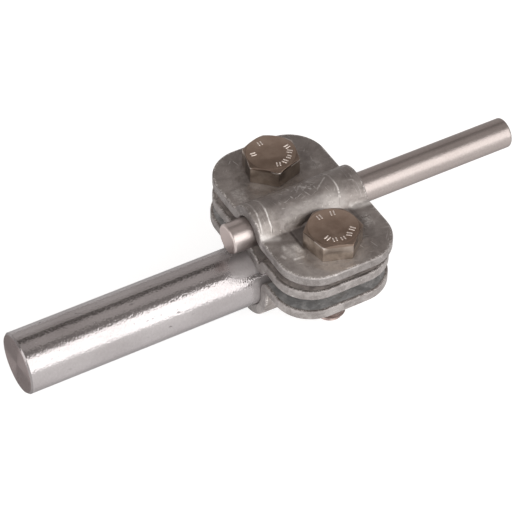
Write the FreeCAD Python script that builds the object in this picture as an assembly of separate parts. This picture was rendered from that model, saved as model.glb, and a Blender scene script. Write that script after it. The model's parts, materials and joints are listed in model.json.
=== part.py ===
"""Disconnecting clamp for round lightning conductors.

Three pressed plates are stacked on two M8 screws.  The bottom plate has a
trough for the 16 mm earth rod, the middle plate saddles that rod and carries
the 8 mm conductor, and the top plate holds the conductor under its hump.

Frame: X along the rods, Y from screw to screw, Z up.  The origin is on the
earth rod's axis, midway between the two screws.  Millimetres and degrees.
"""
import FreeCAD
import Part
import os
from math import sqrt, sin, cos, tan, radians, degrees, atan2

V = FreeCAD.Vector

# driving dimensions: the rods
earth_rod_diameter = 16.0
earth_rod_free_end = -79.1        # X of the end that stands out of the clamp
earth_rod_inner_end = 14.0        # X of the end that stops inside the clamp
earth_rod_chamfer = 0.5
conductor_diameter = 8.0
conductor_stub_end = -21.2        # X of the short end past the plates
conductor_free_end = 60.9         # X of the long end
conductor_end_round = 0.7

# plates
plate_thickness = 2.8
plate_width = 31.0                # along the rods
top_plate_length = 50.6           # from screw to screw and beyond
middle_plate_length = 49.2
bottom_plate_length = 50.2
top_plate_shift = 0.1             # along the rods, off the screws' line
middle_plate_shift = -0.3
bottom_plate_shift = -0.6
plate_corner_radius = 10.0
plate_edge_round = 0.4            # rounding that the zinc coat leaves
trough_depth = 13.4               # bottom plate: flange face to trough floor
trough_bend_radius = 3.5          # on the rod's side of the bend
saddle_half_angle = 33.0          # middle plate: wrap round the earth rod
saddle_bend_radius = 0.5          # inside radius of the two lower bends
flange_lift = 0.75                # middle flange above the saddle's crown
flange_bend_radius = 0.5          # inside radius of the two upper bends
conductor_seat_depth = 0.45       # groove coined into the saddle's crown
hump_inner_radius = 4.45
hump_bend_radius = 1.0            # outside radius at the hump's foot

# screws
screw_spacing = 30.4
thread_diameter = 8.0
screw_length = 25.0
screw_end_chamfer = 1.1
head_across_flats = 13.0
head_height = 5.3
head_flat_diameter = 12.3         # circle left flat on top of the head
head_chamfer_angle = 30.0
front_head_turn = 40.3            # angle of one corner of the hexagon
rear_head_turn = 16.7
clearance_hole_diameter = 9.0     # top and middle plate
hump_waist = 11.8                 # of the hump between the two round seats
seat_wall_angle = 8.0             # lean of the seat's wall from upright
seat_rim_round = 1.0              # where the seat's wall meets the hump

# clearances
rod_clearance = 0.05              # between a rod and the plate that holds it
thread_clearance = 0.05           # on the radius, screw in the bottom plate

# sizes that follow
earth_rod_radius = earth_rod_diameter / 2
conductor_radius = conductor_diameter / 2
saddle_inner_radius = earth_rod_radius + rod_clearance
bottom_face = trough_depth - saddle_inner_radius          # flange's upper face
saddle_crown = saddle_inner_radius + plate_thickness
middle_face = saddle_crown + flange_lift                  # flange's upper face
conductor_height = (saddle_crown - conductor_seat_depth + rod_clearance
                    + conductor_radius)
hump_height = (conductor_height + conductor_radius + rod_clearance
               - hump_inner_radius)                       # centre of the hump
top_face = hump_height + plate_thickness
seat_radius = (screw_spacing - hump_waist) / 2   # pressed in round each screw
screw_places = {"front_screw": (-screw_spacing / 2, front_head_turn),
                "rear_screw": (screw_spacing / 2, rear_head_turn)}


# helpers
def arc(centre, radius, start, end):
    """Arc in the YZ plane; angles in degrees from +Y towards +Z."""
    cy, cz = centre

    def at(angle):
        a = radians(angle)
        return V(0, cy + radius * cos(a), cz + radius * sin(a))
    return Part.Arc(at(start), at((start + end) / 2), at(end)).toShape()


def sheet_face(path, reach, level):
    """Section of a bent sheet of even thickness, symmetric about Z.

    path lists the bends of the +Y half from the flange inwards as
    (centre, radius of the mid-line, start angle, end angle, side), where
    side is +1 for a bend centred above the sheet and -1 for one below it.
    The last bend crosses the plane of symmetry.  reach is the half length of
    the flanges and level the height of their mid-line.
    """
    half = plate_thickness / 2

    def line_of(offset):
        edges = []
        for centre, radius, start, end, side in path[:-1]:
            edges.append(arc(centre, radius - side * offset, start, end))
        centre, radius, start, end, side = path[-1]
        crown = arc(centre, radius - side * offset, start, end)
        mirrored = [e.mirror(V(0, 0, 0), V(0, 1, 0)) for e in edges]
        inner = edges + [crown] + mirrored
        far = V(0, reach, level + offset)
        near = V(0, -reach, level + offset)
        foot = edges[0].Vertexes[0].Point
        return inner, far, near, foot

    upper, upper_far, upper_near, upper_foot = line_of(half)
    lower, lower_far, lower_near, lower_foot = line_of(-half)

    def line(a, b):
        return Part.makeLine(a, b)

    def flip(p):
        return V(p.x, -p.y, p.z)
    edges = (upper + lower
             + [line(upper_far, upper_foot), line(flip(upper_foot), upper_near),
                line(lower_far, lower_foot), line(flip(lower_foot), lower_near),
                line(upper_far, lower_far), line(upper_near, lower_near)])
    wire = Part.Wire(Part.__sortEdges__(edges))
    return Part.Face(wire)


def trimmed(section, length, shift):
    """Section extruded along the rods and cut to the plates' outline."""
    w, l = plate_width / 2, length / 2
    below, above = -2 * earth_rod_diameter, 3 * earth_rod_diameter
    blank = Part.makeBox(2 * w, 2 * l, above - below, V(shift - w, -l, below))
    upright = [e for e in blank.Edges
               if abs(e.Vertexes[0].Z - e.Vertexes[1].Z) > 1e-6]
    blank = blank.makeFillet(plate_corner_radius, upright)
    section.translate(V(-plate_width, 0, 0))
    plate = section.extrude(V(2 * plate_width, 0, 0)).common(blank)
    return soften(plate, length, shift)


def soften(plate, length, shift):
    """Round the long edges that the outline leaves on both faces."""
    w, l, r = plate_width / 2, length / 2, plate_corner_radius

    def on_outline(p):
        x, y = abs(p.x - shift) - (w - r), abs(p.y) - (l - r)
        if x > 0 and y > 0:
            return abs(sqrt(x * x + y * y) - r) < 1e-4
        return abs(max(x, y) - r) < 1e-4

    rim = []
    for e in plate.Edges:
        points = e.discretize(Number=5)
        upright = max(abs(p.x - points[0].x) + abs(p.y - points[0].y)
                      for p in points) < 1e-6
        if all(on_outline(p) for p in points) and not upright:
            rim.append(e)
    return plate.makeFillet(plate_edge_round, rim)


def drill(plate, diameter, bottom, top):
    for y, _ in screw_places.values():
        hole = Part.makeCylinder(diameter / 2, top - bottom, V(0, y, bottom))
        plate = plate.cut(hole)
    return plate


# sub-parts
def bottom_plate():
    """Flange, U-shaped trough for the earth rod, two threaded holes."""
    t = plate_thickness
    bend_y = saddle_inner_radius + trough_bend_radius
    bend_z = bottom_face - trough_bend_radius
    wall_y = saddle_inner_radius
    plate = trimmed(trough_section(bend_y, bend_z, wall_y),
                    bottom_plate_length, bottom_plate_shift)
    bore = thread_diameter + 2 * thread_clearance
    return drill(plate, bore, bottom_face - t - 1, bottom_face + 1)


def trough_section(bend_y, bend_z, wall_y):
    """Section of the bottom plate, drawn for +Y and mirrored."""
    t = plate_thickness
    reach = bottom_plate_length / 2 + 1
    r = trough_bend_radius

    def side(radius_bend, wall, face, radius_trough):
        edges = [Part.makeLine(V(0, reach, face), V(0, bend_y, face)),
                 arc((bend_y, bend_z), radius_bend, 90, 180),
                 Part.makeLine(V(0, wall, bend_z), V(0, wall, 0))]
        mirrored = [e.mirror(V(0, 0, 0), V(0, 1, 0)) for e in edges]
        return edges + [arc((0, 0), radius_trough, 0, -180)] + mirrored
    upper = side(r, wall_y, bottom_face, wall_y)
    lower = side(r - t, wall_y + t, bottom_face - t, wall_y + t)
    ends = [Part.makeLine(V(0, s * reach, bottom_face),
                          V(0, s * reach, bottom_face - t)) for s in (1, -1)]
    return Part.Face(Part.Wire(Part.__sortEdges__(upper + lower + ends)))


def middle_plate():
    """Saddle over the earth rod, two lips beside it, flanges, two holes."""
    t = plate_thickness
    saddle = saddle_inner_radius + t / 2
    lower = saddle_bend_radius + t / 2
    upper = flange_bend_radius + t / 2
    level = middle_face - t / 2
    a = radians(90 - saddle_half_angle)
    c1 = ((saddle + lower) * cos(a), (saddle + lower) * sin(a))
    c2z = level - upper
    c2 = (c1[0] + sqrt((lower + upper) ** 2 - (c1[1] - c2z) ** 2), c2z)
    meet = degrees(atan2(c1[1] - c2[1], c1[0] - c2[0]))
    path = [(c2, upper, 90, meet, -1),
            (c1, lower, meet - 180, -90 - saddle_half_angle, 1),
            ((0, 0), saddle, 90 - saddle_half_angle,
             90 + saddle_half_angle, -1)]
    plate = trimmed(sheet_face(path, middle_plate_length / 2 + 1, level),
                    middle_plate_length, middle_plate_shift)
    groove = Part.makeCylinder(conductor_radius + rod_clearance,
                               2 * plate_width,
                               V(-plate_width, 0, conductor_height),
                               V(1, 0, 0))
    plate = plate.cut(groove)
    return drill(plate, clearance_hole_diameter, 0, middle_face + 1)


def top_plate():
    """Hump over the conductor, waisted by the round seats of the screws."""
    t = plate_thickness
    hump = hump_inner_radius + t / 2
    bend = hump_bend_radius + t / 2
    level = top_face - t / 2
    c1z = level + bend
    c1 = (sqrt((hump + bend) ** 2 - (c1z - hump_height) ** 2), c1z)
    meet = degrees(atan2(c1[1] - hump_height, c1[0]))
    path = [(c1, bend, -90, meet - 180, 1),
            ((0, hump_height), hump, meet, 180 - meet, -1)]
    plate = trimmed(sheet_face(path, top_plate_length / 2 + 1, level),
                    top_plate_length, top_plate_shift)
    plate = drill(plate, clearance_hole_diameter, hump_height - 1,
                  top_face + 1)
    for y, _ in screw_places.values():
        plate = plate.cut(seat_cutter(y))
    return round_seats(plate)


def seat_cutter(y):
    """Flat round seat with a steep wall that waists the hump."""
    height = hump_inner_radius + plate_thickness
    grow = height * tan(radians(seat_wall_angle))
    return Part.makeCone(seat_radius, seat_radius + grow, height,
                         V(0, y, top_face), V(0, 0, 1))


def round_seats(plate):
    """Round the rims that the seats' walls leave on the hump."""
    rims = [e for face in plate.Faces if isinstance(face.Surface, Part.Cone)
            for e in face.Edges
            if any(abs(p.z - top_face) > 1e-6
                   for p in e.discretize(Number=9))]
    return plate.makeFillet(seat_rim_round, rims)


def screw(y, turn):
    """Hexagon head set screw, thread drawn as a plain shank."""
    corner = head_across_flats / sqrt(3)
    ring = [V(corner * cos(radians(turn + 60 * k)),
              corner * sin(radians(turn + 60 * k)), 0) for k in range(7)]
    head = Part.Face(Part.makePolygon(ring)).extrude(V(0, 0, head_height))
    slope = tan(radians(head_chamfer_angle))
    flat = head_flat_diameter / 2
    run = flat + head_height / slope
    crown = Part.makeCone(run, flat, head_height)
    head = head.common(crown)
    shank = Part.makeCylinder(thread_diameter / 2, screw_length,
                              V(0, 0, -screw_length))
    end = [e for e in shank.Edges
           if len(e.Vertexes) == 1 and e.Vertexes[0].Z < -screw_length + 1e-6]
    shank = shank.makeChamfer(screw_end_chamfer, end)
    body = head.fuse(shank).removeSplitter()
    body.translate(V(0, y, top_face))
    return body


def rod(diameter, start, end, height):
    return Part.makeCylinder(diameter / 2, end - start,
                             V(start, 0, height), V(1, 0, 0))


def rims(solid):
    return [e for e in solid.Edges if len(e.Vertexes) == 1]


def earth_rod():
    body = rod(earth_rod_diameter, earth_rod_free_end, earth_rod_inner_end, 0)
    return body.makeChamfer(earth_rod_chamfer, rims(body))


def conductor_rod():
    body = rod(conductor_diameter, conductor_stub_end, conductor_free_end,
               conductor_height)
    return body.makeFillet(conductor_end_round, rims(body))


parts = {"bottom_plate": bottom_plate(),
         "middle_plate": middle_plate(),
         "top_plate": top_plate(),
         "earth_rod": earth_rod(),
         "conductor_rod": conductor_rod()}
for name, (y, turn) in screw_places.items():
    parts[name] = screw(y, turn)

os.makedirs("parts", exist_ok=True)
for name, shape in parts.items():
    shape.exportStep("parts/" + name + ".step")
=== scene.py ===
"""Disconnecting clamp: the finishes, the threaded screws, the light and the view.

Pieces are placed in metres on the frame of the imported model: X along the rods,
Y from screw to screw, Z up. Sizes and finishes are written in millimetres, and
colours as linear red, green and blue.
"""
import json
from collections import namedtuple
from math import cos, pi, radians, sin, sqrt

import bmesh
import bpy
from mathutils import Matrix, Vector


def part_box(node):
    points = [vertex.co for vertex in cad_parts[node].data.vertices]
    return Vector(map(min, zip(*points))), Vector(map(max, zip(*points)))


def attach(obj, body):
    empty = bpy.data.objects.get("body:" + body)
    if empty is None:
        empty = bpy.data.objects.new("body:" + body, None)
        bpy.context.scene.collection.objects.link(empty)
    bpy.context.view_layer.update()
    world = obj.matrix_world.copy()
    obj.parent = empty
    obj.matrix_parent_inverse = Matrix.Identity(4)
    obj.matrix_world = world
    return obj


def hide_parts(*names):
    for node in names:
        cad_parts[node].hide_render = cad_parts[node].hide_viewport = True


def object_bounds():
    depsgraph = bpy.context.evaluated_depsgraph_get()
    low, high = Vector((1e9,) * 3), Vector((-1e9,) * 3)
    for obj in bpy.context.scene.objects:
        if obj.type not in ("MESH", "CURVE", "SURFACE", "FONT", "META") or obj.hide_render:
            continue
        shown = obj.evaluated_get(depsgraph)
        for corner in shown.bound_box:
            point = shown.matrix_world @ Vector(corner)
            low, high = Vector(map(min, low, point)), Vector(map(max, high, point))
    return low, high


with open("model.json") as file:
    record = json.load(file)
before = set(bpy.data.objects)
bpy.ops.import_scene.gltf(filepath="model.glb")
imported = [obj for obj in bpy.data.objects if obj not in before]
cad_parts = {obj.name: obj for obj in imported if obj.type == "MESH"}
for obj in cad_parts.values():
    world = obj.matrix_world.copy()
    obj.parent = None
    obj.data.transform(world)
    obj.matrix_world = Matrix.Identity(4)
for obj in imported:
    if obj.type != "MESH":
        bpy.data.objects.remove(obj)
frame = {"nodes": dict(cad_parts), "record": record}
cad_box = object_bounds()
MM = 0.001


def span(node, axis):
    """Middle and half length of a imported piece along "x", "y" or "z", in mm."""
    low, high = (getattr(corner, axis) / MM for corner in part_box(node))
    return (low + high) / 2, (high - low) / 2


# Dimensions in millimetres
THREAD = 8.0
PITCH = 1.25
THREAD_DEPTH = 0.77
SCREW_END_CHAMFER = 1.1
HEAD_HEIGHT = 5.3
MARK_HEIGHT = 0.12
PLATE_CORNER = 10.0
HEAD_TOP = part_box("front_screw")[1].z / MM
TOP_FACE = HEAD_TOP - HEAD_HEIGHT  # height of the top plate's seats
SCREW_REACH = span("rear_screw", "y")[0]  # from the middle to a screw's axis

# Colours of the zinc plates
ZINC_DARK = (0.206, 0.183, 0.172)
ZINC_PALE = (0.478, 0.444, 0.423)
ZINC_SHADED = (0.20, 0.18, 0.17)
CUT_DARK = (0.25, 0.23, 0.222)
CUT_PALE = (0.48, 0.455, 0.445)
RIM_WEAR_AND_HIGHLIGHT = (0.90, 0.88, 0.86)
# Scuffs and scratches, and painted highlights on pressed lines, hump feet and sheens
SCUFF_AND_PAINTED_HIGHLIGHT = (0.88, 0.86, 0.84)
HAIR_LINE = (0.80, 0.78, 0.76)
# Stain marks, and painted shade in the top plate's creases, seats and nooks
DIRT_AND_PAINTED_SHADE = (0.06, 0.05, 0.045)

# Colours of the rods
ROD_DARK = (0.35, 0.327, 0.329)
ROD_PALE = (0.49, 0.470, 0.473)
# Stains on the rod, also painted shade on its end chamfer
ROD_STAIN_AND_SHADE = (0.13, 0.12, 0.12)
ROD_FACE_DARK = (0.165, 0.130, 0.126)
ROD_FACE_PALE = (0.36, 0.300, 0.295)
SATIN_DARK = (0.285, 0.248, 0.236)
SATIN_PALE = (0.46, 0.417, 0.400)
SATIN_STUB = (0.80, 0.72, 0.70)
SATIN_FACE = (0.62, 0.53, 0.51)

# Colours of the screws
HEAD_DARK = (0.32, 0.237, 0.188)
HEAD_PALE = (0.40, 0.308, 0.250)
HEAD_SHADED = (0.15, 0.120, 0.095)
CHAMFER_SHADE = (0.17, 0.130, 0.105)
FLANK_DARK = (0.42, 0.352, 0.292)
FLANK_PALE = (0.68, 0.592, 0.517)
FLANK_TOP_SHADE = (0.10, 0.08, 0.07)
FLANK_SHADE = (0.12, 0.098, 0.080)
EDGE_GLINT = (0.95, 0.90, 0.85)
MARK_GLINT_AND_WEAR = (0.92, 0.84, 0.78)
SHANK = (0.31, 0.245, 0.228)

# Colours of the sky
SKY_BACK = (0.66, 0.620, 0.605)
SKY_TOP = (0.435, 0.400, 0.382)
SKY_MIDDLE = (0.59, 0.546, 0.527)
SKY_STREAK = (0.13, 0.118, 0.110)
SKY_FRONT = (0.90, 0.89, 0.88)

# Lines pressed across the hump: place along the rods, brightness of their painted highlight,
# height
PRESS_LINES = ((-13.6, 0.75, 0.03), (-10.9, 1.00, 0.09),
               (8.9, 0.75, 0.06), (13.6, 0.30, 0.04))
# Dents of the press tool beside the hump: x, y, strength
PRESS_DENTS = ((-11.8, 10.0, 0.7), (-9.5, -13.1, 1.0),
               (11.5, -13.0, 0.9), (10.5, 11.3, 0.6))
# Strokes beside the front head: start, end, width, brightness
TOOL_STROKES = (((-8.9, -12.3), (-8.6, -14.0), 1.8, 0.85),
                ((-11.4, -11.0), (-11.6, -12.0), 0.9, 0.7),
                ((-11.2, -16.0), (-9.0, -16.2), 0.7, 0.95),
                ((-13.3, -13.7), (-13.0, -14.5), 0.8, 0.6),
                ((-11.2, -13.2), (-9.8, -15.0), 2.6, 0.50))
# Painted highlights along the hump's feet, in the same order
FOOT_HIGHLIGHTS = (((10.5, -7.2), (15.3, -7.8), 1.3, 0.70),
                ((-14.6, -6.7), (-11.2, -7.9), 1.3, 0.70),
                ((-6.0, 11.0), (-2.5, 10.6), 3.0, 0.20))
# Fine scratches, most of them on the hump: start, end, brightness
SCRATCHES = (((-4.4, 2.4), (-2.4, 2.1), 0.45),
             ((-0.6, 3.0), (-1.3, 0.3), 0.50),
             ((-1.3, 0.3), (0.9, 2.4), 0.55),
             ((0.9, 2.4), (0.4, 0.1), 0.45),
             ((0.4, 0.1), (2.1, 1.3), 0.55),
             ((3.5, 0.1), (3.6, -1.3), 0.60),
             ((3.6, -1.3), (7.5, 1.6), 0.75),
             ((11.1, 14.0), (9.4, 9.7), 0.30))
SCRATCH_WIDTH = 0.32
# Painted shade in soft dark spots on the top plate: x, y, half width, half length, darkness
SHADE_SPOTS = ((8.6, 13.5, 3.0, 5.5, 0.36),
         (9.0, 21.5, 6.0, 4.0, 0.24),
         (-10.4, -9.0, 3.0, 3.0, 0.16))

# Pairs of raised bars on a head: angle and reach of the middle, turn, length
SCREW_MARKS = {
    "front_screw": ((107, 4.6, 95, 1.6), (62, 4.7, 75, 1.6),
                    (-140, 4.3, -160, 1.6), (-116, 4.5, -100, 1.4),
                    (-90, 4.6, -90, 1.2), (-64, 4.6, -40, 1.5),
                    (-38, 4.6, -50, 1.6)),
    "rear_screw": ((160, 4.5, 175, 1.6), (101, 4.3, 90, 1.5),
                   (0, 4.6, 10, 1.6), (-24, 4.7, -40, 1.5),
                   (-48, 4.7, -48, 1.2), (-72, 4.7, -55, 1.5),
                   (-96, 4.7, -110, 1.5))}


# Finishes
class Value:
    """A number on a surface. Arithmetic on it adds Math nodes."""

    def __init__(self, finish, socket):
        self.finish = finish
        self.socket = socket

    def _math(self, operation, *values):
        return self.finish.node("ShaderNodeMath", *values, settings={"operation": operation})

    def __add__(self, other):
        return self._math("ADD", self, other)

    def __sub__(self, other):
        return self._math("SUBTRACT", self, other)

    def __rsub__(self, other):
        return self._math("SUBTRACT", other, self)

    def __mul__(self, other):
        return self._math("MULTIPLY", self, other)

    def __truediv__(self, other):
        return self._math("DIVIDE", self, other)

    def __abs__(self):
        return self._math("ABSOLUTE", self)

    __radd__ = __add__
    __rmul__ = __mul__

    def root(self):
        return self._math("SQRT", self)

    def wave(self):
        return self._math("SINE", self)

    def most(self, *others):
        """The highest of this value and the others."""
        highest = self
        for other in others:
            highest = self._math("MAXIMUM", highest, other)
        return highest

    def least(self, other):
        return self._math("MINIMUM", self, other)

    def rise(self, start, end):
        """0 before start, 1 past end, smooth in between. start is below end."""
        return self.finish.node("ShaderNodeMapRange", self, start, end, 0.0, 1.0,
                                settings={"interpolation_type": "SMOOTHSTEP"})

    def fall(self, start, end):
        """1 before start, 0 past end, smooth in between. start is below end."""
        return 1 - self.rise(start, end)

    def band(self, start, full, fade, end):
        """0 before start and past end, 1 from full to fade."""
        return self.rise(start, full) * self.fall(fade, end)

    def near(self, place, full, end):
        """1 within the distance full of a place, 0 past the distance end."""
        return abs(self - place).fall(full, end)


class Finish:
    """The nodes of a material, or of the world."""

    def __init__(self, owner):
        owner.use_nodes = True
        self.owner = owner
        self.tree = owner.node_tree
        self.tree.nodes.clear()

    def plug(self, socket, value):
        """Link a Value to a socket, or set the socket to a plain value."""
        if isinstance(value, Value):
            self.tree.links.new(value.socket, socket)
        else:
            socket.default_value = value

    def node(self, kind, *values, settings=None, out=0, **named):
        """Add a node whose sockets are filled in order, or by name with _ for a space."""
        node = self.tree.nodes.new(kind)
        for key, setting in (settings or {}).items():
            setattr(node, key, setting)
        for place, value in enumerate(values):
            self.plug(node.inputs[place], value)
        for name, value in named.items():
            self.plug(node.inputs[name.replace("_", " ")], value)
        return Value(self, node.outputs[out]) if node.outputs else None

    def outputs(self, kind, *values):
        """Add a node and give all its outputs by name."""
        node = self.node(kind, *values).socket.node
        return {socket.name: Value(self, socket) for socket in node.outputs}

    def blend(self, factor, first, second):
        """Colour that goes from first to second, both Values or (r, g, b)."""
        mix = self.tree.nodes.new("ShaderNodeMix")
        mix.data_type = "RGBA"
        colours = [(*c, 1.0) if isinstance(c, tuple) else c for c in (first, second)]
        # The colours of this node are its inputs 6 and 7 and its output 2
        for place, value in zip((0, 6, 7), (factor, *colours)):
            self.plug(mix.inputs[place], value)
        return Value(self, mix.outputs[2])

    def paint(self, colour, *layers):
        """A colour with layers over it, each a mask and its colour."""
        for mask, over in layers:
            colour = self.blend(mask, colour, over)
        return colour

    def places(self):
        """Object coordinates in millimetres: the vector, then x, y and z."""
        raw = self.node("ShaderNodeTexCoord", out="Object")
        at = self.node("ShaderNodeVectorMath", raw, settings={"operation": "SCALE"},
                       Scale=1 / MM)
        split = self.outputs("ShaderNodeSeparateXYZ", at)
        return at, split["X"], split["Y"], split["Z"]

    def noise(self, at, scale, detail=2.0, roughness=0.5, distortion=0.0, stretch=None):
        """Noise with about scale waves to a millimetre, times stretch."""
        if stretch:
            at = self.node("ShaderNodeVectorMath", at, stretch,
                           settings={"operation": "MULTIPLY"})
        return self.node("ShaderNodeTexNoise", Vector=at, Scale=scale, Detail=detail,
                         Roughness=roughness, Distortion=distortion)

    def vector(self, x, y, z):
        """One vector of three numbers."""
        return self.node("ShaderNodeCombineXYZ", x, y, z)

    def line(self, x, y, start, end, width):
        """Mask of a stroke from start to end, gone at width from its middle."""
        ax, ay = start
        dx, dy = end[0] - ax, end[1] - ay
        square = dx * dx + dy * dy
        px, py = x - ax, y - ay
        along = (px * (dx / square) + py * (dy / square)).most(0.0).least(1.0)
        qx, qy = px - along * dx, py - along * dy
        return (qx * qx + qy * qy).root().fall(0.0, width)

    def metal(self, colour, roughness, height, metallic=1.0, glance=1.0):
        """Metal surface whose colour, roughness and height in mm vary.

        glance is its tint where it is seen at a flat angle.
        """
        bump = self.node("ShaderNodeBump", Strength=1.0, Distance=MM, Height=height)
        shader = self.node("ShaderNodeBsdfPrincipled", Metallic=metallic,
                           Base_Color=colour, Roughness=roughness, Normal=bump,
                           Specular_Tint=(glance, glance, glance, 1.0))
        self.node("ShaderNodeOutputMaterial", shader)
        return self.owner


def finish(name):
    """The empty nodes of a new material."""
    return Finish(bpy.data.materials.new(name))


# What marks are made from: the nodes, the place and three noises, coarse to fine
Surface = namedtuple("Surface", "f x y z wander patch grain")


def zinc_plate(node, gap, coat_and_painted_light, marks):
    """Hot-dip zinc on pressed sheet: cloudy grey, fine grain, few scuffs.

    gap is the range of heights in which the faces inside the outline lie in a
    gap; there they get the lighter colour given after gap, partly bright zinc
    they kept and partly painted light in the gap. marks gives the light marks,
    dark marks and relief of a plate.
    """
    f = finish("zinc_" + node)
    at, x, y, z = f.places()
    middle, half_width = span(node, "x")
    half_length = span(node, "y")[1]
    px = (abs(x - middle) - (half_width - PLATE_CORNER)).most(0.0)
    py = (abs(y) - (half_length - PLATE_CORNER)).most(0.0)
    outside = (px * px + py * py).root() - PLATE_CORNER
    cut = outside.rise(-0.30, -0.10)
    rim = outside.band(-0.80, -0.42, -0.30, -0.05)
    low, high = gap
    inside = outside.fall(-0.9, -0.6) * z.band(low, low + 0.2, high, high + 0.2)
    cloud = f.noise(at, 0.13, 4.0, 0.6, 0.8)
    patch = f.noise(at, 0.33, 3.0, 0.6, 0.5)
    blotch = f.noise(at, 0.85, 3.0, 0.6, 0.4)
    grain = f.noise(at, 2.4, 3.0, 0.65)
    wander = f.noise(at, 0.21, 3.0, 0.5, 0.4)
    dent = f.noise(at, 0.46, 2.0, 0.5)
    tone = (cloud.rise(0.30, 0.70) * 0.42 + patch.rise(0.34, 0.66) * 0.26
            + blotch.rise(0.36, 0.64) * 0.14 + grain * 0.18)
    bare = f.blend(grain.rise(0.3, 0.7) * 0.4 + patch.rise(0.34, 0.66) * 0.6,
                   CUT_DARK, CUT_PALE)
    # The cut edge is darker at the left end
    left_cut = cut * x.fall(-13.5, -11.5) * y.rise(-8.0, -3.0)
    # Painted highlight along the rounded rims, partly bare zinc from wear
    rim_wear_highlight = rim * grain.rise(0.49, 0.59) * patch.rise(0.38, 0.54)
    # Painted shade: the plates grow darker towards the far right
    far_side = (x + y * 0.4).rise(-18.0, 20.0)
    hairs = hair_lines(f, at)
    light, dark, height = marks(Surface(f, x, y, z, wander, patch, grain))
    # Lighter faces in the gaps: partly kept bright zinc, partly painted light
    stained_coat_and_light = tuple(0.62 * part for part in coat_and_painted_light)
    colour = f.paint(
        f.blend(tone, ZINC_DARK, ZINC_PALE),
        (cut, bare),
        (left_cut * 0.28, DIRT_AND_PAINTED_SHADE),
        (rim_wear_highlight * 0.9, RIM_WEAR_AND_HIGHLIGHT),
        (far_side * 0.32, ZINC_SHADED),
        (hairs * 0.5, HAIR_LINE),
        # scuffs and scratches, with painted highlights and sheens
        (light, SCUFF_AND_PAINTED_HIGHLIGHT),
        # painted shade in creases, seat walls, nooks and round the heads, with stain marks
        (dark, DIRT_AND_PAINTED_SHADE),
        (inside, f.blend(patch.rise(0.36, 0.66), coat_and_painted_light, stained_coat_and_light)))
    rough = 0.42 + patch * 0.14 + grain * 0.14 + cut * 0.08 - hairs * 0.10
    relief = (grain * 0.045 + cut * grain * 0.05 + wander * 0.50 + dent * 0.22
              - hairs * 0.02 + height)
    return f.metal(colour, rough, relief, 0.9 - inside * 0.2 - light * 0.25)


def hair_lines(f, at):
    """A few hair lines in three directions."""
    masks = []
    for turn, threshold in ((18.0, 0.56), (74.0, 0.60), (131.0, 0.58)):
        turned = f.node("ShaderNodeMapping", Vector=at, Rotation=(0.0, 0.0, radians(turn)),
                        Location=(turn, 2 * turn, 0.0))
        hair = f.noise(turned, 1.0, 1.0, 0.5, 0.25, stretch=(0.12, 3.2, 1.2))
        where = f.noise(turned, 0.35, 1.0)
        masks.append(hair.rise(0.66, 0.73) * where.rise(threshold, threshold + 0.08))
    return masks[0].most(*masks[1:])


def plain_marks(s):
    """A few light clouds, no dark marks and no relief."""
    return s.wander.rise(0.62, 0.8) * 0.2, 0.0, 0.0


def distance_from_screw(x, y):
    """Distance of a place from the nearer screw's axis."""
    v = abs(y) - SCREW_REACH
    return (x * x + v * v).root()


def top_plate_marks(s):
    """Light marks (scuffs, scratches and painted highlights), dark marks (painted shade and
    stain marks) and relief of the top plate.
    """
    on_hump = s.z.rise(TOP_FACE + 0.25, TOP_FACE + 1.2)
    on_top = s.z.rise(TOP_FACE - 0.6, TOP_FACE - 0.1)
    from_screw = distance_from_screw(s.x, s.y)
    lines, line_height = press_lines(s, on_hump)
    dents, dent_height = press_dents(s)
    creases = seat_creases(s)
    seat_rim = from_screw.rise(8.4, 10.2) * (1 - on_hump)
    light = lines.most(dents, strokes(s, on_hump), fine_hairs(s), sheens(s, on_hump, on_top))
    dark = (creases * (1 - on_hump) * 0.75).most(
        shadows(s, from_screw), stains_and_shade(s, from_screw, on_hump, on_top))
    height = line_height + dent_height + seat_rim * 0.20 - creases * 0.10
    return light, dark, height


def press_lines(s, on_hump):
    """Curved lines pressed across the hump, with painted highlights along them that are
    brightest on its front, and painted bright strokes near its ends.
    """
    bow = s.y * s.y * 0.029
    bent = s.f.noise(s.f.vector(s.x * 3.2, s.y * 0.16, s.z * 0.16), 1.0, 2.0, 0.6)
    light = bent.rise(0.60, 0.72) * on_hump * 0.22 * abs(s.x).rise(8.0, 12.0)
    height = 0.0
    brightest_in_front = 0.30 + 0.70 * s.y.near(-3.0, 1.5, 3.5)
    for place, share, size in PRESS_LINES:
        off = s.x - place + bow - (s.wander - 0.5) * 1.6
        ridge = off.near(0.0, 0.05, 0.34) * on_hump
        light = light.most(ridge * s.patch.rise(0.38, 0.52) * share * brightest_in_front)
        height = ridge * size + height
    return light, height


def press_dents(s):
    """Worn dents of the press tool."""
    light, height = 0.0, 0.0
    brightened = s.patch.rise(0.40, 0.60) * 0.24 + s.grain.rise(0.50, 0.60) * 0.36
    for x, y, share in PRESS_DENTS:
        dent = (s.x + (s.patch - 0.5) * 3.0).near(x, 0.4, 2.2)
        dent = dent * (s.y + (s.wander - 0.5) * 4.0).near(y, 1.0, 3.2)
        light = (dent * brightened * share).most(light)
        height = dent * 0.06 + height
    return light, height


def strokes(s, on_hump):
    """Scuffs beside the front head, painted highlights along the hump's feet and fine
    scratches.
    """
    beside = (1 - on_hump) * (0.6 + s.grain.rise(0.40, 0.60) * 0.4)
    broken = s.grain.rise(0.36, 0.56) * 0.75
    scratches = [(start, end, SCRATCH_WIDTH, share) for start, end, share in SCRATCHES]
    total = 0.0
    for group, weight in ((TOOL_STROKES, beside), (FOOT_HIGHLIGHTS, 1.0), (scratches, broken)):
        for start, end, width, share in group:
            stroke = s.f.line(s.x, s.y, start, end, width)
            total = (stroke * weight * share).most(total)
    return total


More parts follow.
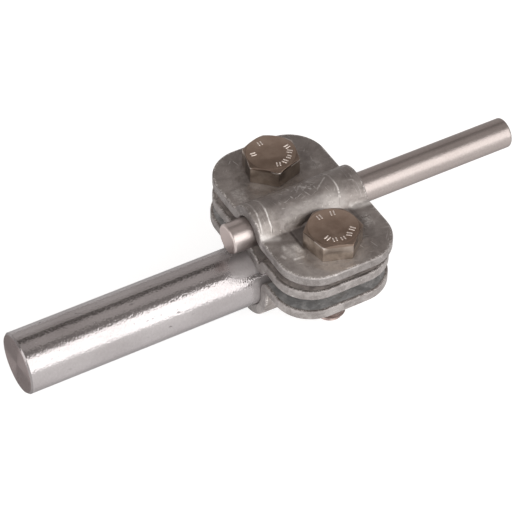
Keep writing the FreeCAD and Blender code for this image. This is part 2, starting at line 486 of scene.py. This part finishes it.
def fine_hairs(s):
    """Fine hairs in two directions on the middle of the hump."""
    masks = []
    for along, over in ((1.0, 0.6), (0.5, -1.1)):
        turned = s.f.vector(s.x * along + s.y * over + over,
                            (s.y * along - s.x * over) * 0.16, s.z * 0.16)
        hair = s.f.noise(turned, 1.7, 1.0, 0.5, 0.8)
        masks.append(hair.rise(0.64, 0.70) * 0.55)
    return masks[0].most(masks[1]) * s.y.near(1.6, 2.0, 4.4) * s.x.near(-1.5, 4.0, 7.0)


def sheens(s, on_hump, on_top):
    """Painted highlights: wide, faint light zones on the hump's front side and the front
    flange.
    """
    hump_side = s.y.fall(-3.8, -1.8) * on_hump
    waist = s.x.near(0.0, 5.5, 11.0) * 0.17 + s.x.near(6.0, 2.0, 5.0) * 0.08
    flange = s.y.fall(-19.0, -13.5) * s.x.fall(2.0, 8.0) * on_top
    cloudy = 0.05 + s.wander.rise(0.40, 0.60) * 0.12
    front_edge = s.y.fall(-21.6, -18.6) * s.x.near(-6.0, 4.0, 10.0) * on_top
    return (hump_side * waist).most(flange * cloudy, front_edge * 0.19)


def seat_creases(s):
    """Creases left and right of the front head, where its seat was pressed, with painted
    shade in them.
    """
    left = s.x.near(-7.3, 0.05, 0.75) * s.y.band(-15.2, -13.2, -7.4, -6.8)
    right = s.x.near(9.9, 0.3, 1.0) * s.y.band(-12.5, -10.5, -7.8, -7.0)
    return left.most(right * 0.55)


def shadows(s, from_screw):
    """Painted shade on the walls of the seats, in the nooks beside the heads and beside the
    front head, and a painted contact shadow round the heads.
    """
    wall = from_screw.fall(9.6, 10.3) * s.z.rise(TOP_FACE + 0.05, TOP_FACE + 0.4)
    nook = s.x.band(-7.4, -7.0, -3.2, -2.2) * s.y.band(-15.0, -13.4, -7.4, -6.8)
    beside = s.x.near(8.8, 1.6, 4.2) * s.y.near(-14.2, 3.2, 5.6)
    far_right = s.y.rise(0.0, 1.0) * s.x.rise(3.0, 6.0)
    ring = from_screw.fall(6.9, 8.1) * (far_right * 0.35 + 0.10)
    return ring.most(wall * 0.72, nook * 0.56, beside * 0.26)


def stains_and_shade(s, from_screw, on_hump, on_top):
    """Cloudy stain marks, painted shade on the hump's back, towards the back, at the right
    corner and in soft dark spots, and darker zones at the hump's end and the near edge.
    """
    cloud = s.patch.rise(0.56, 0.66) * s.wander.rise(0.45, 0.60)
    corner = s.x.near(11.0, 1.5, 5.0) * s.y.near(-19.0, 2.0, 5.0)
    hump_back = s.y.rise(-2.5, 0.5) * 0.28
    hump_end = s.x.near(-8.8, 1.2, 1.9) * s.y.near(-1.0, 4.5, 6.5) * 0.10
    back = s.y.rise(7.0, 12.0) * 0.10 + s.y.rise(18.0, 22.0) * 0.12
    near_edge = (1 - on_top) * s.y.fall(-12.0, -6.0)
    total = (cloud * 0.22).most(corner * 0.18, on_hump * (hump_back + hump_end), back,
                                near_edge * 0.20)
    for x, y, half_width, half_length, share in SHADE_SPOTS:
        shade_spot = (s.x.near(x, half_width * 0.4, half_width)
                * s.y.near(y, half_length * 0.4, half_length))
        total = total.most(shade_spot * share)
    return total


# Finishes of the rods and screws
def zinc_rod():
    """Bright zinc on the thick rod, dull next to the clamp, with a turned end face that
    carries a painted highlight.
    """
    f = finish("bright_zinc_rod")
    at, x, y, z = f.places()
    middle, half = span("earth_rod", "x")
    cloud = f.noise(at, 0.10, 3.0, 0.5, stretch=(0.5, 1.0, 1.0))
    speckle = f.noise(at, 1.6, 1.0, 0.5, stretch=(1.6, 1.0, 1.0))
    fine = f.noise(at, 4.4, 1.0, 0.5)
    ripple = f.noise(at, 0.30, 2.0, 0.5, stretch=(0.30, 1.0, 1.0))
    spots = f.noise(at, 0.75, 2.0, 0.6, stretch=(0.40, 1.0, 1.0)).rise(0.66, 0.73)
    pits = f.noise(at, 1.9, 1.0, 0.5).rise(0.76, 0.82)
    dark = (spots * cloud.rise(0.42, 0.60)).most(pits)
    end = abs(x - middle).rise(half - 0.10, half - 0.02)
    bevel = abs(x - middle).rise(half - 0.56, half - 0.46)
    radius = (y * y + z * z).root()
    rings = (radius * 17.0 + f.noise(at, 0.35, 1.0) * 1.2).wave()
    # Painted highlight: a bright bow tie across the turned end face
    across = (y * 0.757 - z * 0.653) / radius.most(0.01)
    fan = (across * across).rise(0.45, 1.0)
    face = f.blend(fan * 0.60 + rings * 0.10 + cloud * 0.35, ROD_FACE_DARK, ROD_FACE_PALE)
    beside_clamp = x.rise(-25.0, -19.0) * y.rise(-6.6, -5.0)
    front_flank = x.rise(-19.0, -16.8) * y.fall(-7.4, -6.2)
    dull = beside_clamp.most(front_flank) * (1 - end)
    front = y.fall(-3.5, 0.5)
    colour = f.paint(
        f.blend(cloud.rise(0.3, 0.7) * 0.5 + speckle * 0.5, ROD_DARK, ROD_PALE),
        (dark * 0.6, ROD_STAIN_AND_SHADE),
        # painted shade: the end chamfer darker
        (bevel * 0.45, ROD_STAIN_AND_SHADE),
        (end, face))
    rough = 0.09 + fine * 0.10 + dark * 0.2 + end * 0.11 + dull * (0.14 + front * 0.18)
    grain = speckle * 0.060 + fine * 0.014 + ripple * 0.006 - dark * 0.03
    relief = grain * (1 - end) + rings * 0.012 * end
    return f.metal(colour, rough, relief, 1.0 - dull * (0.22 + front * 0.48), glance=0.5)


def satin_rod():
    """Drawn steel conductor: fine lines along it, soft sheen, paler stub."""
    f = finish("satin_conductor")
    at, x = f.places()[:2]
    middle, half = span("conductor_rod", "x")
    drawn = f.noise(at, 1.0, 3.0, 0.6, stretch=(0.06, 4.0, 4.0))
    cloud = f.noise(at, 0.14, 3.0, 0.5, stretch=(0.5, 1.0, 1.0))
    grain = f.noise(at, 3.0, 2.0, 0.6)
    mottle = f.noise(at, 1.5, 2.0, 0.6, stretch=(1.6, 1.0, 1.0))
    tone = cloud * 0.5 + drawn * 0.3 + mottle.rise(0.3, 0.7) * 0.2
    stub = x.fall(-16.0, -13.0)
    end = abs(x - middle).rise(half - 0.12, half - 0.02)
    colour = f.paint(f.blend(tone, SATIN_DARK, SATIN_PALE),
                     (stub * 0.28, SATIN_STUB), (end * 0.75, SATIN_FACE))
    rough = 0.24 + grain * 0.14 + cloud * 0.05
    relief = grain * 0.030 + mottle * 0.030 + drawn * 0.008
    return f.metal(colour, rough, relief, glance=0.5)


def screw_steel():
    """Browned hexagon screws with lighter flanks, painted glints on some edges and the
    raised marks, and painted shade on the rear head, the chamfers and some flanks.
    """
    f = finish("browned_stainless")
    at, x, y, z = f.places()
    radius = distance_from_screw(x, y)
    cloud = f.noise(at, 0.35, 3.0, 0.55)
    grain = f.noise(at, 2.2, 3.0, 0.6)
    tone = cloud.rise(0.3, 0.72)
    # Painted shade: the rear head is darker
    rear = y.rise(-5.0, 5.0)
    flat = f.paint(f.blend(tone, HEAD_DARK, HEAD_PALE), (rear * 0.16, HEAD_SHADED))
    # Painted shade on the upper band of the front head's front flank
    front_flank = y.fall(-20.6, -19.8) * z.rise(HEAD_TOP - 3.3, HEAD_TOP - 2.4)
    side = f.paint(f.blend(tone, FLANK_DARK, FLANK_PALE),
                   (rear * 0.42, HEAD_SHADED), (front_flank * 0.55, FLANK_TOP_SHADE))
    below_marks = HEAD_TOP - MARK_HEIGHT
    # Painted shade: the chamfer below the flat is darker
    chamfer = z.fall(below_marks - 0.07, below_marks - 0.02)
    flank = z.fall(HEAD_TOP - 1.15, HEAD_TOP - 0.85)
    # Painted shade on the rear head's left flank
    shaded_left_flank = y.rise(13.1, 13.4) * x.fall(-6.3, -6.0) * flank
    # Painted glints on edges above the flanks, partly bare metal from wear
    brightened = (f.noise(at, 0.30, 1.0).rise(0.50, 0.56) * y.rise(-1.0, 1.0)
            + x.fall(-4.2, -3.8) * y.near(-18.5, 1.4, 1.9))
    edge = radius.rise(6.0, 6.5) * z.near(HEAD_TOP - 0.92, 0.12, 0.32) * brightened
    # The raised bars painted bright: painted highlight, partly bare metal from wear
    raised = z.rise(HEAD_TOP - MARK_HEIGHT * 0.8, HEAD_TOP - MARK_HEIGHT * 0.3)
    colour = f.paint(
        flat,
        (chamfer * 0.75, CHAMFER_SHADE),
        (flank, side),
        (shaded_left_flank * 0.8, FLANK_SHADE),
        (edge * 0.8, EDGE_GLINT),
        (raised, MARK_GLINT_AND_WEAR),
        (z.fall(4.0, 5.0), SHANK))
    dish = radius.fall(0.8, 2.6)
    rough = 0.25 + grain * 0.08 + cloud * 0.06
    relief = grain * 0.013 - dish * 0.05 + cloud * 0.025
    return f.metal(colour, rough, relief)


# Threaded screws
WELD = 1e-6  # points nearer than this, in metres, become one
FLAT = radians(0.6)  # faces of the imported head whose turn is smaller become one
SHARP = radians(36)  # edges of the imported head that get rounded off
CREASED = radians(24)  # edges that stay visible in the shading
STEPS_PER_TURN = 40
EDGE_STEPS = 3
HEAD_EDGE = 0.16
BAR_WIDTH = 0.42
BAR_DEPTH = 0.5
BAR_EDGE = 0.17
BAR_PAIR = 0.4
BODY = {node: body for body, nodes in frame["record"]["behaviour"]["bodies"].items()
        for node in nodes}


def threaded_shank(bm, top, end):
    """Helical ridge of one profile from top to end.

    It is turned past both, then chamfered at the end and cut flat at both.
    """
    crest = THREAD / 2 * MM
    root = crest - THREAD_DEPTH * MM
    pitch = PITCH * MM
    # Radius and share of a pitch along the axis, from crest to crest
    profile = ((crest, 0.0), (crest, -0.125), (root, -0.5), (root, -0.625), (crest, -1.0))
    start = top + 1.2 * pitch
    smallest = 0.2 * crest
    verts = [bm.verts.new((r, 0.0, start + share * pitch)) for r, share in profile]
    edges = [bm.edges.new(pair) for pair in zip(verts, verts[1:])]
    turns = round((top - end) / pitch) + 3
    bmesh.ops.spin(bm, geom=verts + edges, cent=(0, 0, 0), axis=(0, 0, 1),
                   dvec=(0, 0, -pitch / STEPS_PER_TURN), angle=2 * pi * turns,
                   steps=STEPS_PER_TURN * turns, use_merge=False)
    bmesh.ops.remove_doubles(bm, verts=bm.verts, dist=WELD)
    for v in bm.verts:
        reach = sqrt(v.co.x ** 2 + v.co.y ** 2)
        allowed = crest - max(0.0, end + SCREW_END_CHAMFER * MM - v.co.z)
        if reach > allowed:
            scale = max(allowed, smallest) / reach
            v.co.x *= scale
            v.co.y *= scale
    for height, up in ((end, -1), (top + 0.1 * MM, 1)):
        cut = bmesh.ops.bisect_plane(
            bm, geom=bm.verts[:] + bm.edges[:] + bm.faces[:], dist=WELD / 10,
            plane_co=(0, 0, height), plane_no=(0, 0, up), clear_outer=True)
        rim = [e for e in cut["geom_cut"] if isinstance(e, bmesh.types.BMEdge)]
        bmesh.ops.edgeloop_fill(bm, edges=rim)
    bmesh.ops.recalc_face_normals(bm, faces=bm.faces)


def hexagon_head(bm, node, seat, top):
    """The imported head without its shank, lowered by the marks, its edges rounded."""
    head = bmesh.new()
    head.from_mesh(frame["nodes"][node].data)
    bmesh.ops.remove_doubles(head, verts=head.verts, dist=WELD)
    shank = [v for v in head.verts if v.co.z < seat - WELD]
    bmesh.ops.delete(head, geom=shank, context="VERTS")
    bmesh.ops.holes_fill(head, edges=[e for e in head.edges if e.is_boundary], sides=0)
    bmesh.ops.dissolve_limit(head, angle_limit=FLAT, verts=head.verts, edges=head.edges)
    upper = [v for v in head.verts if v.co.z > top - 0.002 * MM]
    bmesh.ops.translate(head, verts=upper, vec=(0, 0, -MARK_HEIGHT * MM))
    sharp = [e for e in head.edges if e.is_manifold and e.calc_face_angle(0) > SHARP]
    bmesh.ops.bevel(head, geom=sharp, offset=HEAD_EDGE * MM, offset_type="OFFSET",
                    affect="EDGES", segments=EDGE_STEPS, profile=0.5, material=-1,
                    clamp_overlap=True)
    bmesh.ops.recalc_face_normals(head, faces=head.faces)
    mesh = bpy.data.meshes.new("head")
    head.to_mesh(mesh)
    head.free()
    bm.from_mesh(mesh)
    bpy.data.meshes.remove(mesh)


def raised_bar(bm, place, turn, length, step):
    """A rounded bar, step beside the place where its pair stands."""
    bar = bmesh.ops.create_cube(bm, size=1.0)["verts"]
    bmesh.ops.scale(bm, verts=bar, vec=(length * MM, BAR_WIDTH * MM, BAR_DEPTH * MM))
    bmesh.ops.translate(bm, verts=bar, vec=(0, step * MM, 0))
    edges = list({e for v in bar for e in v.link_edges})
    rounded = bmesh.ops.bevel(bm, geom=edges, offset=BAR_EDGE * MM, offset_type="OFFSET",
                              affect="EDGES", segments=EDGE_STEPS, profile=0.5,
                              material=-1)
    bar = list({v for f in rounded["faces"] for v in f.verts})
    bmesh.ops.rotate(bm, verts=bar, matrix=Matrix.Rotation(radians(turn), 3, "Z"))
    bmesh.ops.translate(bm, verts=bar, vec=place)


def add_object(name, bm, material):
    """Link a new object with the bmesh, which is freed, as its mesh."""
    mesh = bpy.data.meshes.new(name)
    bm.to_mesh(mesh)
    bm.free()
    mesh.materials.append(material)
    piece = bpy.data.objects.new(name, mesh)
    bpy.context.scene.collection.objects.link(piece)
    return piece


def screw(node, material):
    """Replace a packed screw with one that has its thread and raised marks."""
    low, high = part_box(node)
    y = (low.y + high.y) / 2
    seat = high.z - HEAD_HEIGHT * MM
    bm = bmesh.new()
    threaded_shank(bm, seat, low.z)
    bmesh.ops.translate(bm, verts=bm.verts, vec=(0, y, 0))
    hexagon_head(bm, node, seat, high.z)
    for angle, reach, turn, length in SCREW_MARKS[node]:
        a = radians(angle)
        place = (reach * cos(a) * MM, y + reach * sin(a) * MM, high.z - BAR_DEPTH / 2 * MM)
        for step in (-BAR_PAIR, BAR_PAIR):
            raised_bar(bm, place, turn, length, step)
    for face in bm.faces:
        face.smooth = True
    for edge in bm.edges:
        if edge.is_manifold and edge.calc_face_angle(0) > CREASED:
            edge.smooth = False
    piece = add_object("threaded_" + node, bm, material)
    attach(piece, BODY[node])
    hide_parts(node)


# Floor and lamps, in metres and degrees
FLOOR_HALF = 6.0
LAMP_DISTANCE = 1.1
FRONT_AZIMUTH = 20
FRONT_WIDTH = 1.5

# The photograph's view, in degrees, millimetres and pixels
VIEW_AZIMUTH = -30.31
VIEW_ELEVATION = 45.025
VIEW_ROLL = 0.934
VIEW_DISTANCE = 586.354
VIEW_ASIDE = 10.66
VIEW_BELOW = 1.376
FOCAL_PIXELS = 2311.903
PHOTO_PIXELS = 515
SENSOR_WIDTH = 36.0


def paper():
    """The floor's finish: it lights the part like pale paper and looks nearly white."""
    f = finish("pale_floor")
    ray = f.outputs("ShaderNodeLightPath")
    seen = ray["Is Camera Ray"].most(ray["Is Glossy Ray"], ray["Is Transmission Ray"])
    plain = f.node("ShaderNodeBsdfDiffuse", (0.80, 0.80, 0.80, 1.0))
    glow = f.node("ShaderNodeEmission", (1.0, 1.0, 1.0, 1.0), 0.50)
    white = f.node("ShaderNodeEmission", (1.0, 1.0, 1.0, 1.0), 1.1)
    lifted = f.node("ShaderNodeAddShader", plain, glow)
    mirrored = f.node("ShaderNodeMixShader", seen, plain, lifted)
    shown = f.node("ShaderNodeMixShader", ray["Is Camera Ray"] * 0.5, mirrored, white)
    f.node("ShaderNodeOutputMaterial", shown)
    return f.owner


def floor():
    """Wide floor just below the part."""
    bm = bmesh.new()
    bmesh.ops.create_grid(bm, x_segments=1, y_segments=1, size=FLOOR_HALF)
    bmesh.ops.translate(bm, verts=bm.verts, vec=(0, 0, cad_box[0].z - 0.02 * MM))
    add_object("floor", bm, paper())


def direction(azimuth, elevation):
    """Unit vector away from the part. Azimuth 0 is the front screw's side."""
    a, e = radians(azimuth), radians(elevation)
    return Vector((sin(a) * cos(e), -cos(a) * cos(e), sin(e)))


def lamp(name, azimuth, elevation, width, height, radiance, colour):
    """Rectangular lamp that faces the part."""
    back = direction(azimuth, elevation)
    data = bpy.data.lights.new(name, "AREA")
    data.shape = "RECTANGLE"
    data.size = width
    data.size_y = height
    data.energy = radiance * pi * width * height
    data.color = colour
    light = bpy.data.objects.new(name, data)
    light.location = back * LAMP_DISTANCE
    light.rotation_euler = (-back).to_track_quat("-Z", "Y").to_euler()
    bpy.context.scene.collection.objects.link(light)


def studio():
    """Sky in bands along the rods, which mirror them, and five lamps.

    tilt is the angle of a band from straight up towards the front, in radians.
    The front lamps grow weaker downwards, so that their highlight ends softly.
    """
    world = bpy.data.worlds.new("studio")
    bpy.context.scene.world = world
    f = Finish(world)
    way = f.outputs("ShaderNodeSeparateXYZ", f.node("ShaderNodeTexCoord", out="Generated"))
    tilt = f.node("ShaderNodeMath", 0 - way["Y"], way["Z"],
                  settings={"operation": "ARCTAN2"})
    streak = tilt.near(-0.53, 0.08, 0.14)
    dim = tilt.band(0.15, 0.25, 0.40, 0.52) * 0.61
    colour = f.paint(
        SKY_BACK,
        (tilt.rise(-1.05, -0.80), SKY_TOP),
        (tilt.band(-0.42, -0.30, 0.40, 0.60), SKY_MIDDLE),
        (streak.most(dim), SKY_STREAK),
        (tilt.band(1.15, 1.45, 1.7, 1.9), SKY_FRONT))
    sky = f.node("ShaderNodeBackground", colour, 1.0)
    f.node("ShaderNodeOutputWorld", sky)
    for name, elevation, height, radiance in (("front_box", 33.5, 0.694, 2.18),
                                              ("front_low", 13.5, 0.096, 1.98),
                                              ("front_lower", 8.5, 0.096, 1.76),
                                              ("front_lowest", 3.5, 0.096, 1.5)):
        lamp(name, FRONT_AZIMUTH, elevation, FRONT_WIDTH, height, radiance,
             (1.0, 0.99, 0.98))
    lamp("side_box", -74, 24, 1.2, 0.7, 1.8, (1.0, 0.98, 0.97))


def camera():
    """The view that was fitted to the rods' edges and the heads' corners."""
    back = direction(VIEW_AZIMUTH, VIEW_ELEVATION)
    roll = radians(VIEW_ROLL)
    right = (-back).cross(Vector((0, 0, 1))).normalized()
    up = right.cross(-back)
    side = right * cos(roll) + up * sin(roll)
    head = up * cos(roll) - right * sin(roll)
    place = (back * VIEW_DISTANCE - side * VIEW_ASIDE - head * VIEW_BELOW) * MM
    data = bpy.data.cameras.new("camera")
    data.sensor_width = SENSOR_WIDTH
    data.lens = FOCAL_PIXELS * SENSOR_WIDTH / PHOTO_PIXELS
    data.clip_start = 0.05
    data.clip_end = 20.0
    view = bpy.data.objects.new("camera", data)
    turned = Matrix((side, head, back)).transposed().to_4x4()
    view.matrix_world = Matrix.Translation(place) @ turned
    bpy.context.scene.collection.objects.link(view)
    bpy.context.scene.camera = view


def dress(node, material):
    """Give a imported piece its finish."""
    materials = frame["nodes"][node].data.materials
    materials.clear()
    materials.append(material)


# The colours after the gaps are partly the kept bright zinc and partly painted light in the
# gaps
for node, gap, coat_and_painted_light, marks in (
        ("top_plate", (13.0, 14.0), (0.50, 0.46, 0.44), top_plate_marks),
        ("middle_plate", (0.0, 20.0), (0.62, 0.565, 0.54), plain_marks),
        ("bottom_plate", (4.9, 20.0), (0.56, 0.57, 0.575), plain_marks)):
    dress(node, zinc_plate(node, gap, coat_and_painted_light, marks))
dress("earth_rod", zinc_rod())
dress("conductor_rod", satin_rod())
steel = screw_steel()
for node in SCREW_MARKS:
    screw(node, steel)
floor()
studio()
camera()
bpy.context.scene.view_settings.view_transform = "Standard"
